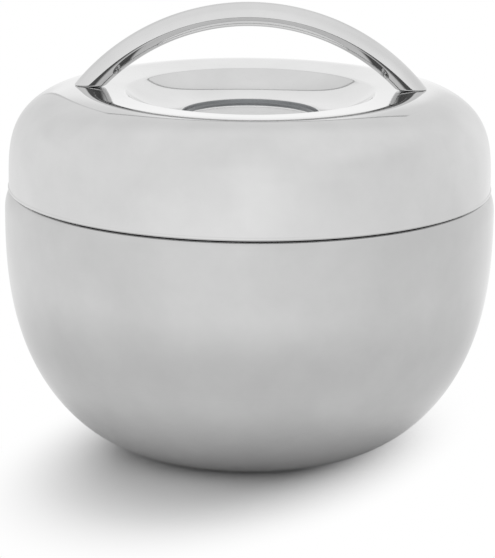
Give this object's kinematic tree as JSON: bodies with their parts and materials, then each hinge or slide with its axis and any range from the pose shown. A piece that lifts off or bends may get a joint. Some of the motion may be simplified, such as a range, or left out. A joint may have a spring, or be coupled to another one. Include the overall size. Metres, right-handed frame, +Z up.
{
  "type": "insulated bowl with lid",
  "caption": "Double-wall insulated stainless serving bowl with a domed twist-lock lid, dished top and fixed arched handle.",
  "frame": {"origin": "middle of the underside, on the surface that the bowl stands on", "axes": "+Z up along the axis of the bowl and lid, +X along the lid's handle"},
  "size_m": [0.17, 0.17, 0.1562],
  "materials": {
    "polished_steel": "polished",
    "satin_steel": "satin",
    "plain_steel": "satin",
    "copper_foil": "satin",
    "dark_plastic": "satin",
    "silicone": "matte",
    "foam": "matte"
  },
  "bodies": {
    "bowl": {"bowl_outer_shell": "polished_steel", "bowl_inner_shell": "satin_steel", "bowl_heat_foil": "copper_foil", "bowl_bottom_plate": "plain_steel", "bowl_vacuum_plug": "plain_steel", "bowl_getter": "plain_steel", "bowl_base_cover": "satin_steel", "neck_ring": "dark_plastic", "neck_seal": "silicone"},
    "seal": {"lid_seal": "silicone"},
    "lid": {"lid_outer_shell": "polished_steel", "lid_insulation": "foam", "lid_liner": "dark_plastic", "handle": "polished_steel", "handle_screws": "plain_steel", "handle_washers": "plain_steel", "handle_saddles": "dark_plastic"}
  },
  "joints": [
    {"name": "lid_lift", "type": "slide", "parent": "bowl", "child": "seal", "axis": [0, 0, 1], "range_m": [0, 0.12]},
    {"name": "lid_twist", "type": "hinge", "parent": "seal", "child": "lid", "pos_m": [0, 0, 0.094], "axis": [0, 0, -1], "range_deg": [0, 36]}
  ]
}
